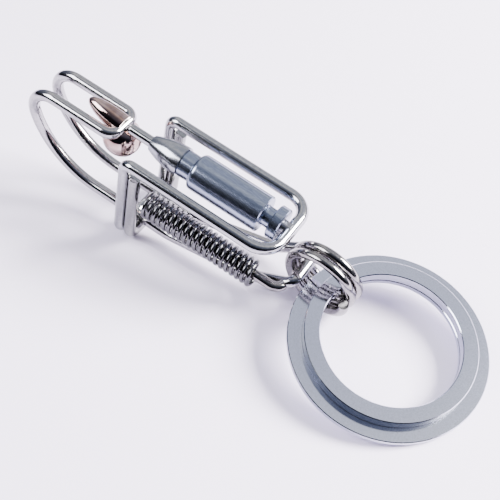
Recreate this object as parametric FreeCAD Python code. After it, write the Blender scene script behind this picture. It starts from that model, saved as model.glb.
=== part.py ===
"""Wire keychain: a sprung belt hook with a cartridge charm, a round link and a stepped split ring.

Millimetres, Z up, lying on a level surface at z = 0. The hook and slider are drawn level
first, with the slider's axis along X and its rails in the plane z = 0, and are then tipped
back so that the keeper and the rear eyes stand on the surface.
The hook points along -X, the split ring lies along +X, and Y runs across the keychain.
At the end everything is moved so that the origin is the bottom centre of the overall box.
"""
import FreeCAD, Part
import math
import os

V = FreeCAD.Vector
X_AXIS = V(1, 0, 0)
Y_AXIS = V(0, 1, 0)
Z_AXIS = V(0, 0, 1)
ORIGIN = V(0, 0, 0)

# stock wire and clearances
WIRE_R = 1.0
SLIDING_GAP = 0.15

# pose on the surface
TIP_BACK_DEG = 10.7
KEEPER_X = 2.1
KEEPER_Z = -18.1

# hook wire
HOOK_HALF_WIDTH = 3.0
HOOK_TOP_Z = -0.5
SHANK_Z = -15.85
CROSSBAR_X = -5.2
CROSSBAR_BEND_R = 1.7
LOOP_TOP_X = -17.0
LOOP_NOSE_R = 4.4
LOOP_NOSE_TURN_DEG = 110.0
LOOP_BACK_R = 14.0
SHANK_BEND_X = 8.0
SHANK_BEND_R = 12.0
SHANK_RISE_X = 24.5
SHANK_RISE_Z = -11.9
SHANK_RISE_R = 8.0

# rear crossbar, which the link hangs on
REAR_BAR_X = 31.7
REAR_BAR_Z = -6.8
REAR_BAR_NEAR_Y = -3.5
REAR_BAR_FAR_Y = 5.3
REAR_BAR_BEND_R = 1.5

# guide rod and its spring
GUIDE_R = 0.85
GUIDE_Y = -5.45
GUIDE_Z = -7.6
GUIDE_FRONT_X = 8.8
GUIDE_END_X = 30.5
GUIDE_BEND_R = 1.6
SPRING_OUTER_R = 2.35
SPRING_WIRE_R = 0.37
SPRING_TURNS = 21
SPRING_FRONT_X = 3.9
SPRING_REAR_X = 26.2

# slider frame and keeper
RAIL_Y = 6.25
FRAME_REAR_X = 27.4
FRAME_CORNER_R = 3.6
LEG_TOP_BEND_R = 1.5
LEG_FOOT_BEND_R = 2.2
KEEPER_TOP_Z = -1.6
FRAME_FOOT_Z = -18.1

# bolt rod, charm and latch bead
BOLT_R = 0.95
BOLT_FRONT_X = -3.9
BOLT_SEAT_DEPTH = 3.0
NOSE_TIP_X = 0.8
NOSE_R = 2.6
NOSE_TIP_R = 1.4
NOSE_END_X = 6.9
NOSE_FULLNESS = 0.76
NECK_R = 2.3
NECK_END_X = 9.2
CASE_R = 3.15
SHOULDER_R = 0.85
CASE_END_X = 22.6
GROOVE_R = 1.7
GROOVE_END_X = 24.3
RIM_R = 2.85
RIM_END_X = 26.0
EDGE_BREAK = 0.15
PRIMER_R = 1.15
PRIMER_DEPTH = 1.4
BEAD_R = 3.3
BEAD_Z = -3.2
OGIVE_R = 1.9
OGIVE_LENGTH = 7.2
OGIVE_LIFT_DEG = 11.5

# round link
LINK_OUTER_R = 6.6
LINK_WIRE_R = 0.82
LINK_PITCH = 1.83
LINK_TURNS = 2.4
LINK_Y = 0.3
LINK_YAW_DEG = 8.0
LINK_LEAN_DEG = 8.0
LINK_REACH = 3.4
LINK_FLOOR_GAP = 0.05

# stepped flat split ring
RING_CENTRE_X = 47.2
RING_CENTRE_Y = -3.2
RING_LEAN_DEG = 10.3
RING_LEAN_HEADING_DEG = -19.6
RING_OUTER_R = 16.0
RING_STEP_R = 13.7
RING_HOLE_R = 11.2
RING_LOWER_T = 1.0
RING_UPPER_T = 1.75
RING_TURN_GAP = 0.05
RING_CHAMFER = 0.12
RING_SPLIT_DEG = 4.0
RING_JOGGLE_DEG = 14.0
RING_SPLIT_AT_DEG = 174.0


def straight(start, end):
    return Part.LineSegment(start, end).toShape()


def bent_edges(points, radii):
    """Straight runs through the points, with a tangent arc of the given radius at each corner."""
    edges = []
    run_start = points[0]
    for before, corner, after, radius in zip(points, points[1:], points[2:], radii):
        arriving = (corner - before).normalize()
        leaving = (after - corner).normalize()
        turn = arriving.getAngle(leaving)
        reach = radius * math.tan(turn / 2)
        arc_start = corner - arriving * reach
        arc_end = corner + leaving * reach
        inward = (leaving - arriving).normalize()
        centre = corner + inward * (radius / math.cos(turn / 2))
        middle = centre - inward * radius
        if (arc_start - run_start).Length > 1e-4:
            edges.append(straight(run_start, arc_start))
        edges.append(Part.Arc(arc_start, middle, arc_end).toShape())
        run_start = arc_end
    edges.append(straight(run_start, points[-1]))
    return edges


def wire_solid(edges, radius):
    """Round wire of the given radius along a path."""
    first = edges[0]
    start = first.valueAt(first.FirstParameter)
    heading = first.tangentAt(first.FirstParameter)
    section = Part.Wire([Part.Circle(start, heading, radius).toShape()])
    return Part.Wire(edges).makePipeShell([section], True, False)


def rod_along(axis, start, radius, length):
    return Part.makeCylinder(radius, length, start, axis)


def coil_solid(radius, wire_radius, pitch, turns):
    """A close coil about Z, starting at z = 0."""
    path = Part.makeHelix(pitch, pitch * turns, radius)
    start = V(radius, 0, 0)
    heading = V(0, 2 * math.pi * radius, pitch).normalize()
    section = Part.Wire([Part.Circle(start, heading, wire_radius).toShape()])
    return Part.Wire(path).makePipeShell([section], True, True)


def turned_about_x(profile):
    """A turned solid about the X axis, from a closed list of edges in the XZ half plane."""
    face = Part.Face(Part.Wire(profile))
    return face.revolve(ORIGIN, X_AXIS, 360)


def polygon_edges(points):
    return [straight(a, b) for a, b in zip(points, points[1:])]


def stand_up(shape):
    """Tip a level hook or slider piece back into its pose on the surface."""
    standing = shape.copy()
    standing.rotate(ORIGIN, Y_AXIS, TIP_BACK_DEG)
    standing.translate(V(0, 0, surface_height(0, 0)))
    return standing


def surface_height(x, z):
    """Height above the surface of a point on a level piece, once it has been tipped back."""
    tip = math.radians(TIP_BACK_DEG)
    keeper_drop = KEEPER_Z * math.cos(tip) - KEEPER_X * math.sin(tip)
    return z * math.cos(tip) - x * math.sin(tip) + WIRE_R - keeper_drop


def hook_side(side, rear_y):
    """Corners of one side of the hook wire, from the front crossbar round to the rear one."""
    y = side * HOOK_HALF_WIDTH
    nose_turn = math.radians(LOOP_NOSE_TURN_DEG)
    nose_corner_x = LOOP_TOP_X - LOOP_NOSE_R * math.tan(nose_turn / 2)
    back_run = (HOOK_TOP_Z - SHANK_Z) / math.tan(math.pi - nose_turn)
    return [
        V(CROSSBAR_X, 0, HOOK_TOP_Z),
        V(CROSSBAR_X, y, HOOK_TOP_Z),
        V(nose_corner_x, y, HOOK_TOP_Z),
        V(nose_corner_x + back_run, y, SHANK_Z),
        V(SHANK_BEND_X, y, SHANK_Z),
        V(SHANK_RISE_X, y + (rear_y - y) / 2, SHANK_RISE_Z),
        V(REAR_BAR_X, rear_y, REAR_BAR_Z),
        V(REAR_BAR_X, 0, REAR_BAR_Z),
    ]


def make_hook_wire():
    """One wire bent into a closed loop: crossbar, two hooks, two shanks and a rear crossbar."""
    bends = [
        CROSSBAR_BEND_R,
        LOOP_NOSE_R,
        LOOP_BACK_R,
        SHANK_BEND_R,
        SHANK_RISE_R,
        REAR_BAR_BEND_R,
    ]
    near = wire_solid(bent_edges(hook_side(-1, REAR_BAR_NEAR_Y), bends), WIRE_R)
    far = wire_solid(bent_edges(hook_side(1, REAR_BAR_FAR_Y), bends), WIRE_R)
    return near.fuse(far).removeSplitter()


def make_guide_rod(hook_wire):
    """A straight rod for the spring, bent inward at the rear and brazed to the near shank."""
    points = [
        V(GUIDE_FRONT_X, GUIDE_Y, GUIDE_Z),
        V(GUIDE_END_X, GUIDE_Y, GUIDE_Z),
        V(GUIDE_END_X, REAR_BAR_NEAR_Y, GUIDE_Z),
    ]
    rod = wire_solid(bent_edges(points, [GUIDE_BEND_R]), GUIDE_R).cut(hook_wire)
    return max(rod.Solids, key=lambda solid: solid.Volume)


def make_latch_bead(hook_wire):
    """A polished bead under the crossbar with a pointed nose in front of it."""
    ball = Part.makeSphere(BEAD_R, V(CROSSBAR_X, 0, BEAD_Z))
    curve = Part.Ellipse(V(0, 0, 0), OGIVE_LENGTH, OGIVE_R)
    quarter = Part.ArcOfEllipse(curve, 0, math.pi / 2).toShape()
    profile = [quarter, straight(V(0, OGIVE_R, 0), ORIGIN), straight(ORIGIN, V(OGIVE_LENGTH, 0, 0))]
    nose = Part.Face(Part.Wire(profile)).revolve(ORIGIN, X_AXIS, 360)
    nose.rotate(ORIGIN, Y_AXIS, 180 + OGIVE_LIFT_DEG)
    nose.translate(V(CROSSBAR_X, 0, HOOK_TOP_Z))
    bead = ball.fuse(nose).cut(hook_wire)
    saddle_start = V(CROSSBAR_X, 0, 0)
    saddle = rod_along(X_AXIS, saddle_start, BOLT_R + SLIDING_GAP, 2 * BEAD_R)
    bead = bead.cut(saddle)
    return max(bead.Solids, key=lambda solid: solid.Volume)


def make_slider_frame():
    """Two rails and a rear bar, bent down at the front into legs that meet below the shanks."""
    ring = [
        V(FRAME_REAR_X, 0, 0),
        V(FRAME_REAR_X, RAIL_Y, 0),
        V(0, RAIL_Y, 0),
        V(0, RAIL_Y, FRAME_FOOT_Z),
        V(0, -RAIL_Y, FRAME_FOOT_Z),
        V(0, -RAIL_Y, 0),
        V(FRAME_REAR_X, -RAIL_Y, 0),
        V(FRAME_REAR_X, 0, 0),
    ]
    bends = [
        FRAME_CORNER_R,
        LEG_TOP_BEND_R,
        LEG_FOOT_BEND_R,
        LEG_FOOT_BEND_R,
        LEG_TOP_BEND_R,
        FRAME_CORNER_R,
    ]
    return wire_solid(bent_edges(ring, bends), WIRE_R)


def make_keeper():
    """The second U of wire, brazed behind the legs; the spring pushes on it."""
    points = [
        V(KEEPER_X, RAIL_Y, KEEPER_TOP_Z - WIRE_R / 2),
        V(KEEPER_X, RAIL_Y, KEEPER_Z),
        V(KEEPER_X, -RAIL_Y, KEEPER_Z),
        V(KEEPER_X, -RAIL_Y, KEEPER_TOP_Z - WIRE_R / 2),
    ]
    return wire_solid(bent_edges(points, [LEG_FOOT_BEND_R, LEG_FOOT_BEND_R]), WIRE_R)


def make_bolt_rod():
    length = NOSE_TIP_X + BOLT_SEAT_DEPTH - BOLT_FRONT_X
    rod = rod_along(X_AXIS, V(BOLT_FRONT_X, 0, 0), BOLT_R, length)
    front_rim = min((edge for edge in rod.Edges if edge.isClosed()), key=lambda e: e.CenterOfMass.x)
    return rod.makeFillet(BOLT_R / 2, [front_rim])


def make_bullet_nose():
    """The ogive of the charm, with a blind hole for the bolt rod and a step into the neck."""
    mid_x = (NOSE_TIP_X + NOSE_END_X) / 2
    mid_r = NOSE_TIP_R + (NOSE_R - NOSE_TIP_R) * NOSE_FULLNESS
    flank = Part.Arc(
        V(NOSE_TIP_X, 0, NOSE_TIP_R),
        V(mid_x, 0, mid_r),
        V(NOSE_END_X, 0, NOSE_R),
    ).toShape()
    hole_end_x = NOSE_TIP_X + BOLT_SEAT_DEPTH
    profile = [flank] + polygon_edges(
        [
            V(NOSE_END_X, 0, NOSE_R),
            V(NOSE_END_X, 0, 0),
            V(hole_end_x, 0, 0),
            V(hole_end_x, 0, BOLT_R),
            V(NOSE_TIP_X, 0, BOLT_R),
            V(NOSE_TIP_X, 0, NOSE_TIP_R),
        ]
    )
    return turned_about_x(profile)


def make_cartridge_case():
    """Neck, rounded shoulder, straight body, extractor groove and rim, with a primer pocket."""
    shoulder_mid = SHOULDER_R * (1 - math.sqrt(0.5))
    pocket_x = RIM_END_X - PRIMER_DEPTH
    shoulder = Part.Arc(
        V(NECK_END_X, 0, CASE_R - SHOULDER_R),
        V(NECK_END_X + shoulder_mid, 0, CASE_R - shoulder_mid),
        V(NECK_END_X + SHOULDER_R, 0, CASE_R),
    ).toShape()
    before = polygon_edges(
        [
            V(NOSE_END_X, 0, 0),
            V(NOSE_END_X, 0, NECK_R - EDGE_BREAK),
            V(NOSE_END_X + EDGE_BREAK, 0, NECK_R),
            V(NECK_END_X, 0, NECK_R),
        ]
    )
    after = polygon_edges(
        [
            V(NECK_END_X + SHOULDER_R, 0, CASE_R),
            V(CASE_END_X - EDGE_BREAK, 0, CASE_R),
            V(CASE_END_X, 0, CASE_R - EDGE_BREAK),
            V(CASE_END_X, 0, GROOVE_R + EDGE_BREAK),
            V(CASE_END_X + EDGE_BREAK, 0, GROOVE_R),
            V(GROOVE_END_X, 0, GROOVE_R),
            V(GROOVE_END_X, 0, RIM_R - EDGE_BREAK),
            V(GROOVE_END_X + EDGE_BREAK, 0, RIM_R),
            V(RIM_END_X - EDGE_BREAK, 0, RIM_R),
            V(RIM_END_X, 0, RIM_R - EDGE_BREAK),
            V(RIM_END_X, 0, PRIMER_R),
            V(pocket_x, 0, PRIMER_R),
            V(pocket_x, 0, 0),
            V(NOSE_END_X, 0, 0),
        ]
    )
    return turned_about_x(before + [shoulder] + after)


def make_primer_stud(slider_frame):
    """A stud in the primer pocket, brazed to the rear bar of the frame."""
    pocket_x = RIM_END_X - PRIMER_DEPTH
    stud = rod_along(X_AXIS, V(pocket_x, 0, 0), PRIMER_R, FRAME_REAR_X - pocket_x)
    stud = stud.cut(slider_frame)
    return max(stud.Solids, key=lambda solid: solid.Volume)


def make_return_spring():
    pitch = (SPRING_REAR_X - SPRING_FRONT_X - 2 * SPRING_WIRE_R) / SPRING_TURNS
    coil = coil_solid(SPRING_OUTER_R - SPRING_WIRE_R, SPRING_WIRE_R, pitch, SPRING_TURNS)
    coil.rotate(ORIGIN, Y_AXIS, 90)
    coil.translate(V(SPRING_FRONT_X + SPRING_WIRE_R, GUIDE_Y, GUIDE_Z))
    return coil


def link_centre(rear_bar):
    """The link hangs on the rear crossbar and reaches down to the surface."""
    lean = math.radians(LINK_LEAN_DEG)
    wire_path_r = LINK_OUTER_R - LINK_WIRE_R
    half_coil = LINK_PITCH * LINK_TURNS / 2
    reach_down = wire_path_r * math.cos(lean) + half_coil * math.sin(lean) + LINK_WIRE_R
    height = reach_down + LINK_FLOOR_GAP
    drop = height - rear_bar.z
    rearward = math.sqrt(LINK_REACH ** 2 - drop ** 2)
    return V(rear_bar.x + rearward, LINK_Y, height)


def make_round_link(rear_bar):
    coil = coil_solid(LINK_OUTER_R - LINK_WIRE_R, LINK_WIRE_R, LINK_PITCH, LINK_TURNS)
    coil.translate(V(0, 0, -LINK_PITCH * LINK_TURNS / 2))
    coil.rotate(ORIGIN, X_AXIS, LINK_LEAN_DEG - 90)
    coil.rotate(ORIGIN, Z_AXIS, -LINK_YAW_DEG)
    coil.translate(link_centre(rear_bar))
    return coil


def ring_turn(outer_radius, bottom, thickness, start_deg, sweep_deg):
    """One turn of the split ring: a flat strip with broken edges, open at the split."""
    top = bottom + thickness
    c = RING_CHAMFER
    section = polygon_edges(
        [
            V(RING_HOLE_R + c, 0, bottom),
            V(outer_radius - c, 0, bottom),
            V(outer_radius, 0, bottom + c),
            V(outer_radius, 0, top - c),
            V(outer_radius - c, 0, top),
            V(RING_HOLE_R + c, 0, top),
            V(RING_HOLE_R, 0, top - c),
            V(RING_HOLE_R, 0, bottom + c),
            V(RING_HOLE_R + c, 0, bottom),
        ]
    )
    face = Part.Face(Part.Wire(section))
    strip = face.revolve(ORIGIN, Z_AXIS, sweep_deg)
    strip.rotate(ORIGIN, Z_AXIS, start_deg)
    return strip


def make_split_ring():
    """Two turns of one flat strip: a wide lower turn and a narrower upper turn.

    The turns are joined where the strip steps up, and are parted by a hair gap elsewhere.
    """
    sweep = 360 - RING_SPLIT_DEG
    lower = ring_turn(RING_OUTER_R, 0, RING_LOWER_T, RING_SPLIT_AT_DEG, sweep)
    upper_z = RING_LOWER_T + RING_TURN_GAP
    upper_start = RING_SPLIT_AT_DEG - RING_JOGGLE_DEG
    upper = ring_turn(RING_STEP_R, upper_z, RING_UPPER_T, upper_start, sweep)
    bridge_z = RING_LOWER_T - RING_CHAMFER - RING_TURN_GAP
    bridge_t = 2 * (RING_CHAMFER + RING_TURN_GAP) + RING_TURN_GAP
    bridge_start = RING_SPLIT_AT_DEG - RING_JOGGLE_DEG
    bridge = ring_turn(RING_STEP_R - RING_CHAMFER, bridge_z, bridge_t, bridge_start, RING_JOGGLE_DEG / 2)
    ring = lower.fuse([upper, bridge])
    lean = math.radians(RING_LEAN_DEG)
    ring.rotate(ORIGIN, Z_AXIS, -RING_LEAN_HEADING_DEG)
    ring.rotate(ORIGIN, Y_AXIS, RING_LEAN_DEG)
    ring.rotate(ORIGIN, Z_AXIS, RING_LEAN_HEADING_DEG)
    ring.translate(V(RING_CENTRE_X, RING_CENTRE_Y, RING_OUTER_R * math.sin(lean)))
    return ring


def build():
    hook_wire = make_hook_wire()
    slider_frame = make_slider_frame()
    level = {
        "hook_wire": hook_wire,
        "guide_rod": make_guide_rod(hook_wire),
        "latch_bead": make_latch_bead(hook_wire),
        "slider_frame": slider_frame,
        "keeper": make_keeper(),
        "bolt_rod": make_bolt_rod(),
        "bullet_nose": make_bullet_nose(),
        "cartridge_case": make_cartridge_case(),
        "primer_stud": make_primer_stud(slider_frame),
        "return_spring": make_return_spring(),
    }
    pieces = {name: stand_up(shape) for name, shape in level.items()}
    rear_bar = stand_up(Part.Vertex(V(REAR_BAR_X, 0, REAR_BAR_Z)))
    pieces["round_link"] = make_round_link(rear_bar.Point)
    pieces["split_ring"] = make_split_ring()
    box = Part.makeCompound(list(pieces.values())).optimalBoundingBox()
    for shape in pieces.values():
        shape.translate(V(-box.Center.x, -box.Center.y, -box.ZMin))
    return pieces


def main():
    os.makedirs("parts", exist_ok=True)
    for name, shape in build().items():
        shape.exportStep("parts/" + name + ".step")
        print(name, shape.isValid(), len(shape.Solids), round(shape.Volume, 2))


main()
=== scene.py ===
"""Looks for the wire belt-hook keychain: polished and brushed steel on a pale table."""

import math

import bpy
from mathutils import Matrix, Vector


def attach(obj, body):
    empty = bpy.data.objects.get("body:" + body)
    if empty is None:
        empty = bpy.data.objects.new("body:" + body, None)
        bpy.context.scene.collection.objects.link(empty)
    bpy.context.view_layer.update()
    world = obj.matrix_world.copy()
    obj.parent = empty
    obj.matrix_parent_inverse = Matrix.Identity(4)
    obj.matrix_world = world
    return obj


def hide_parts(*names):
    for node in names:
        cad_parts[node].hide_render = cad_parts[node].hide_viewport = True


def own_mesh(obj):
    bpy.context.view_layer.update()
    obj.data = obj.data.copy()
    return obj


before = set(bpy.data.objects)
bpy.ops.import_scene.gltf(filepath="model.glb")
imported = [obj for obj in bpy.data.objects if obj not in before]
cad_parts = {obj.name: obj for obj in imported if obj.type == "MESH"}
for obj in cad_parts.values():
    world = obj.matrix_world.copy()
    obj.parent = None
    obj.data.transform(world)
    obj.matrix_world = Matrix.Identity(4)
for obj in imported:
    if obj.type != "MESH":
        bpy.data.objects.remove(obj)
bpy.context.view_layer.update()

# camera: place, turn and lens, fitted to the view in the photo
CAMERA_AT = Vector((0.04904, -0.07726, 0.11718))
CAMERA_AZ = math.radians(-31.56)
CAMERA_EL = math.radians(49.98)
CAMERA_ROLL = math.radians(1.64)
CAMERA_LENS_MM = 63.58
SENSOR_MM = 36.0
CLIP_START = 0.005

# the slider's axis runs down towards the ring by this angle
TIP_BACK = math.radians(10.7)

# metals: the grain's noise turns from the dark to the light colour between these two values
GRAIN_DARK_AT = 0.3
GRAIN_LIGHT_AT = 0.7
GRAIN_DETAIL = 6.0
LEAST_ROUGHNESS = 0.02
BUMP_DISTANCE = 0.0001
POLISHED = dict(roughness=0.13, grain=0.05, grain_scale=3000)
BRUSHED = dict(grain=0.05, grain_scale=9000, stretch=(7, 1, 1), turn=TIP_BACK, bump=0.06)

# polished wires and rods: node, name of its metal, dark colour, light colour
POLISHED_STEELS = [
    ("hook_wire", "hook_wire_steel", (0.32, 0.31, 0.32), (0.43, 0.42, 0.43)),
    ("slider_frame", "frame_wire_steel", (0.33, 0.33, 0.34), (0.44, 0.44, 0.46)),
    ("keeper", "keeper_wire_steel", (0.26, 0.26, 0.26), (0.36, 0.36, 0.36)),
    ("bolt_rod", "bolt_steel", (0.32, 0.32, 0.33), (0.42, 0.42, 0.43)),
    ("guide_rod", "guide_rod_steel", (0.16, 0.15, 0.15), (0.26, 0.25, 0.25)),
    ("round_link", "link_steel", (0.2, 0.19, 0.19), (0.31, 0.3, 0.3)),
]

FLOOR_HALF = 4.0
TABLE_DARK = (0.83, 0.75, 0.95)
TABLE_LIGHT = (0.87, 0.81, 0.96)
TABLE_ROUGHNESS = 0.75
MOTTLE_SCALE = 9.0
MOTTLE_DETAIL = 2.0

# room: brightness along SKY_TILT. Dark in front and low down, a bright window low at the back,
# then a greyer band and bright light overhead
SKY_TILT = (0, 0.5, 0.6)
SKY = [
    (0.0, (0.01, 0.012, 0.02)),
    (0.08, (0.03, 0.035, 0.06)),
    (0.2, (0.12, 0.14, 0.21)),
    (0.45, (0.3, 0.33, 0.42)),
    (0.56, (0.6, 0.63, 0.72)),
    (0.63, (1.25, 1.25, 1.28)),
    (0.7, (1.25, 1.25, 1.28)),
    (0.75, (0.82, 0.86, 1.02)),
    (0.82, (1.2, 1.22, 1.35)),
    (1.0, (0.9, 0.94, 1.1)),
]
LAMPS_AIM_AT = Vector((0, 0, 0.008))


def sockets(node, **values):
    """Set a node's inputs by name, with _ for a space."""
    for name, value in values.items():
        node.inputs[name.replace("_", " ")].default_value = value


def ramp(nodes, stops):
    """A colour ramp with the given (place, colour) stops."""
    node = nodes.new("ShaderNodeValToRGB")
    elements = node.color_ramp.elements
    while len(elements) > 1:
        elements.remove(elements[-1])
    elements[0].position = stops[0][0]
    elements[0].color = (*stops[0][1], 1)
    for at, colour in stops[1:]:
        elements.new(at).color = (*colour, 1)
    return node


def metal(name, dark, light, roughness, grain, grain_scale, bump=0.0, stretch=(1, 1, 1), turn=0.0):
    """Bare metal whose colour and roughness vary with a fine grain."""
    mat = bpy.data.materials.new(name)
    mat.use_nodes = True
    nodes = mat.node_tree.nodes
    links = mat.node_tree.links
    shader = nodes["Principled BSDF"]
    sockets(shader, Metallic=1.0)
    coords = nodes.new("ShaderNodeTexCoord")
    mapping = nodes.new("ShaderNodeMapping")
    mapping.vector_type = "TEXTURE"
    sockets(mapping, Scale=stretch, Rotation=(0, turn, 0))
    noise = nodes.new("ShaderNodeTexNoise")
    sockets(noise, Scale=grain_scale, Detail=GRAIN_DETAIL)
    links.new(coords.outputs["Object"], mapping.inputs["Vector"])
    links.new(mapping.outputs["Vector"], noise.inputs["Vector"])
    tint = ramp(nodes, [(GRAIN_DARK_AT, dark), (GRAIN_LIGHT_AT, light)])
    links.new(noise.outputs["Fac"], tint.inputs["Fac"])
    links.new(tint.outputs["Color"], shader.inputs["Base Color"])
    spread = nodes.new("ShaderNodeMapRange")
    sockets(spread, To_Min=max(roughness - grain, LEAST_ROUGHNESS), To_Max=roughness + grain)
    links.new(noise.outputs["Fac"], spread.inputs["Value"])
    links.new(spread.outputs["Result"], shader.inputs["Roughness"])
    if bump:
        lump = nodes.new("ShaderNodeBump")
        sockets(lump, Strength=bump, Distance=BUMP_DISTANCE)
        links.new(noise.outputs["Fac"], lump.inputs["Height"])
        links.new(lump.outputs["Normal"], shader.inputs["Normal"])
    return mat


def paint(node, mat):
    """Show one of the frame's nodes in the given material."""
    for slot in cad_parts[node].material_slots:
        slot.link = "OBJECT"
        slot.material = mat


def squashing_spring(mat):
    """A copy of the return spring in the given material, attached to the hook's body; the CAD
    spring is hidden.
    """
    coil = bpy.data.objects.new("spring_coil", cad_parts["return_spring"].data.copy())
    bpy.context.collection.objects.link(coil)
    coil.data.materials.clear()
    coil.data.materials.append(mat)
    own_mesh(coil)
    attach(coil, "hook")
    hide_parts("return_spring")


def pale_table():
    """A matt plane with faint large mottles."""
    bpy.ops.mesh.primitive_plane_add(size=2 * FLOOR_HALF, location=(0, 0, 0))
    table = bpy.context.object
    table.name = "table_top"
    mat = bpy.data.materials.new("table_pale")
    mat.use_nodes = True
    nodes = mat.node_tree.nodes
    links = mat.node_tree.links
    mottle = nodes.new("ShaderNodeTexNoise")
    sockets(mottle, Scale=MOTTLE_SCALE, Detail=MOTTLE_DETAIL)
    tint = ramp(nodes, [(GRAIN_DARK_AT, TABLE_DARK), (GRAIN_LIGHT_AT, TABLE_LIGHT)])
    links.new(mottle.outputs["Fac"], tint.inputs["Fac"])
    shader = nodes["Principled BSDF"]
    links.new(tint.outputs["Color"], shader.inputs["Base Color"])
    sockets(shader, Roughness=TABLE_ROUGHNESS)
    table.data.materials.append(mat)


def room():
    """The world's light, from the SKY stops."""
    world = bpy.data.worlds.new("room")
    bpy.context.scene.world = world
    world.use_nodes = True
    nodes = world.node_tree.nodes
    links = world.node_tree.links
    coords = nodes.new("ShaderNodeTexCoord")
    tilt = nodes.new("ShaderNodeVectorMath")
    tilt.operation = "DOT_PRODUCT"
    tilt.inputs[1].default_value = SKY_TILT
    links.new(coords.outputs["Generated"], tilt.inputs[0])
    light = ramp(nodes, SKY)
    links.new(tilt.outputs["Value"], light.inputs["Fac"])
    background = nodes["Background"]
    links.new(light.outputs["Color"], background.inputs["Color"])
    sockets(background, Strength=1.0)


def softbox(name, at, size, watts, colour):
    """An area light aimed at the middle of the object."""
    data = bpy.data.lights.new(name, "AREA")
    data.shape = "RECTANGLE"
    data.size, data.size_y = size
    data.energy = watts
    data.color = colour
    lamp = bpy.data.objects.new(name, data)
    bpy.context.collection.objects.link(lamp)
    lamp.location = at
    lamp.rotation_euler = (LAMPS_AIM_AT - Vector(at)).to_track_quat("-Z", "Y").to_euler()


def photo_camera():
    """The scene's camera, turned by azimuth, elevation and roll."""
    forward = Vector((
        math.cos(CAMERA_EL) * math.sin(CAMERA_AZ),
        math.cos(CAMERA_EL) * math.cos(CAMERA_AZ),
        -math.sin(CAMERA_EL),
    ))
    level_right = Vector((math.cos(CAMERA_AZ), -math.sin(CAMERA_AZ), 0))
    level_up = level_right.cross(forward)
    right = level_right * math.cos(CAMERA_ROLL) + level_up * math.sin(CAMERA_ROLL)
    up = level_up * math.cos(CAMERA_ROLL) - level_right * math.sin(CAMERA_ROLL)
    data = bpy.data.cameras.new("camera")
    data.sensor_width = SENSOR_MM
    data.lens = CAMERA_LENS_MM
    data.clip_start = CLIP_START
    camera = bpy.data.objects.new("camera", data)
    bpy.context.collection.objects.link(camera)
    axes = Matrix((right, up, -forward)).transposed().to_4x4()
    camera.matrix_world = Matrix.Translation(CAMERA_AT) @ axes
    bpy.context.scene.camera = camera


for node_name, metal_name, dark_steel, light_steel in POLISHED_STEELS:
    paint(node_name, metal(metal_name, dark_steel, light_steel, **POLISHED))
spring = metal("spring_steel", (0.07, 0.07, 0.075), (0.15, 0.15, 0.16), 0.15, 0.04, 3000)
paint("return_spring", spring)
squashing_spring(spring)
# the bead's dark brown to pale pink-gold blotches are a painted reflection of warm things around
# it, not the steel's own colour
paint("latch_bead", metal("bead_polish", (0.2, 0.11, 0.08), (0.55, 0.42, 0.4), 0.08, 0.03, 320))
case = metal("case_steel", (0.21, 0.24, 0.32), (0.31, 0.35, 0.45), roughness=0.2, **BRUSHED)
paint("cartridge_case", case)
nose = metal("nose_steel", (0.26, 0.27, 0.3), (0.36, 0.37, 0.41), roughness=0.18, **BRUSHED)
paint("bullet_nose", nose)
paint("primer_stud", metal("stud_steel", (0.24, 0.24, 0.26), (0.34, 0.34, 0.37), 0.25, 0.06, 3000))
paint("split_ring", metal("ring_steel", (0.56, 0.58, 0.67), (0.65, 0.67, 0.77), 0.12, 0.02, 4200))

pale_table()
room()
softbox("key_softbox", (0.36, 0.27, 0.34), (0.26, 0.26), 24.0, (1.0, 0.98, 0.97))
softbox("fill_softbox", (-0.3, -0.26, 0.4), (0.3, 0.3), 5.0, (0.95, 0.95, 1.0))
photo_camera()
